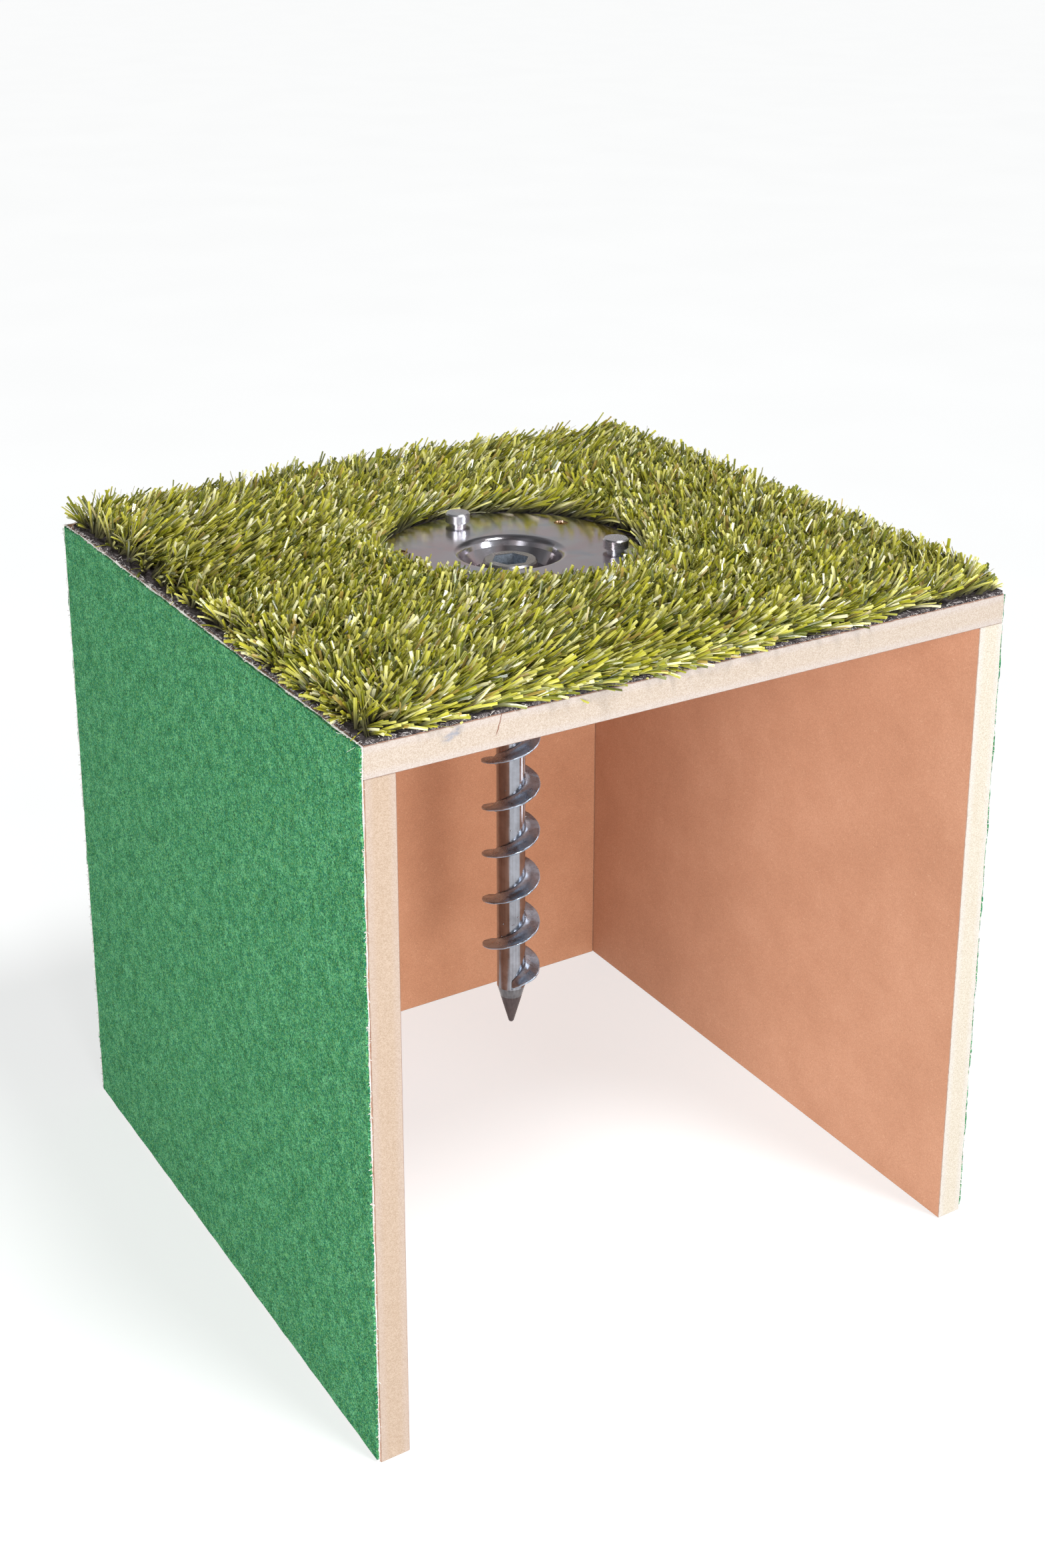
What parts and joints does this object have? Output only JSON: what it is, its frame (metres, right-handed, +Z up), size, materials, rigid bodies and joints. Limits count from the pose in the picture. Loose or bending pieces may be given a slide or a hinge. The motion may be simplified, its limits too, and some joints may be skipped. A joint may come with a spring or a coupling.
{
  "type": "ground screw mounting block",
  "caption": "Open box of wood-fibre boards with a turf top and felt sides, holding a round flange plate with locking studs and a ground screw that turns in its centre.",
  "frame": {"origin": "middle of the footprint, on the floor; the ground screw's axis passes through it", "axes": "+Z up along the ground screw's axis, +X to the right along the open side, -Y out of the open side"},
  "size_m": [0.454, 0.45, 0.4745],
  "materials": {
    "board": "sawn and sanded medium-density fibreboard, pale cut edges",
    "felt": "needle-punched felt",
    "turf_backing": "grey fleece",
    "turf_pile": "flat tape blades in several greens, half gloss",
    "plate": "bright zinc plating, near mirror",
    "stud": "turned, bright zinc plating",
    "screw_head": "turned, bright zinc plating",
    "screw_steel": "bright drawn steel",
    "wood_screw": "yellow zinc plating"
  },
  "bodies": {
    "block": {"top_panel": "board", "left_panel": "board", "right_panel": "board", "back_panel": "board", "top_wood_screws": "wood_screw", "side_wood_screws": "wood_screw", "left_felt": "felt", "right_felt": "felt", "back_felt": "felt", "turf_backing": "turf_backing", "turf_pile": "turf_pile", "flange_plate": "plate", "rear_stud": "stud", "front_left_stud": "stud", "front_right_stud": "stud", "left_plate_screw": "wood_screw", "right_plate_screw": "wood_screw", "front_plate_screw": "wood_screw"},
    "ground_screw": {"socket_head": "screw_head", "bearing_collar": "screw_head", "screw_shaft": "screw_steel", "screw_flight": "screw_steel", "screw_point": "screw_steel"}
  },
  "joints": [
    {"name": "screw_turn", "type": "hinge", "parent": "block", "child": "ground_screw", "pos_m": [0, 0, 0.438], "axis": [0, 0, 1], "continuous": true}
  ]
}
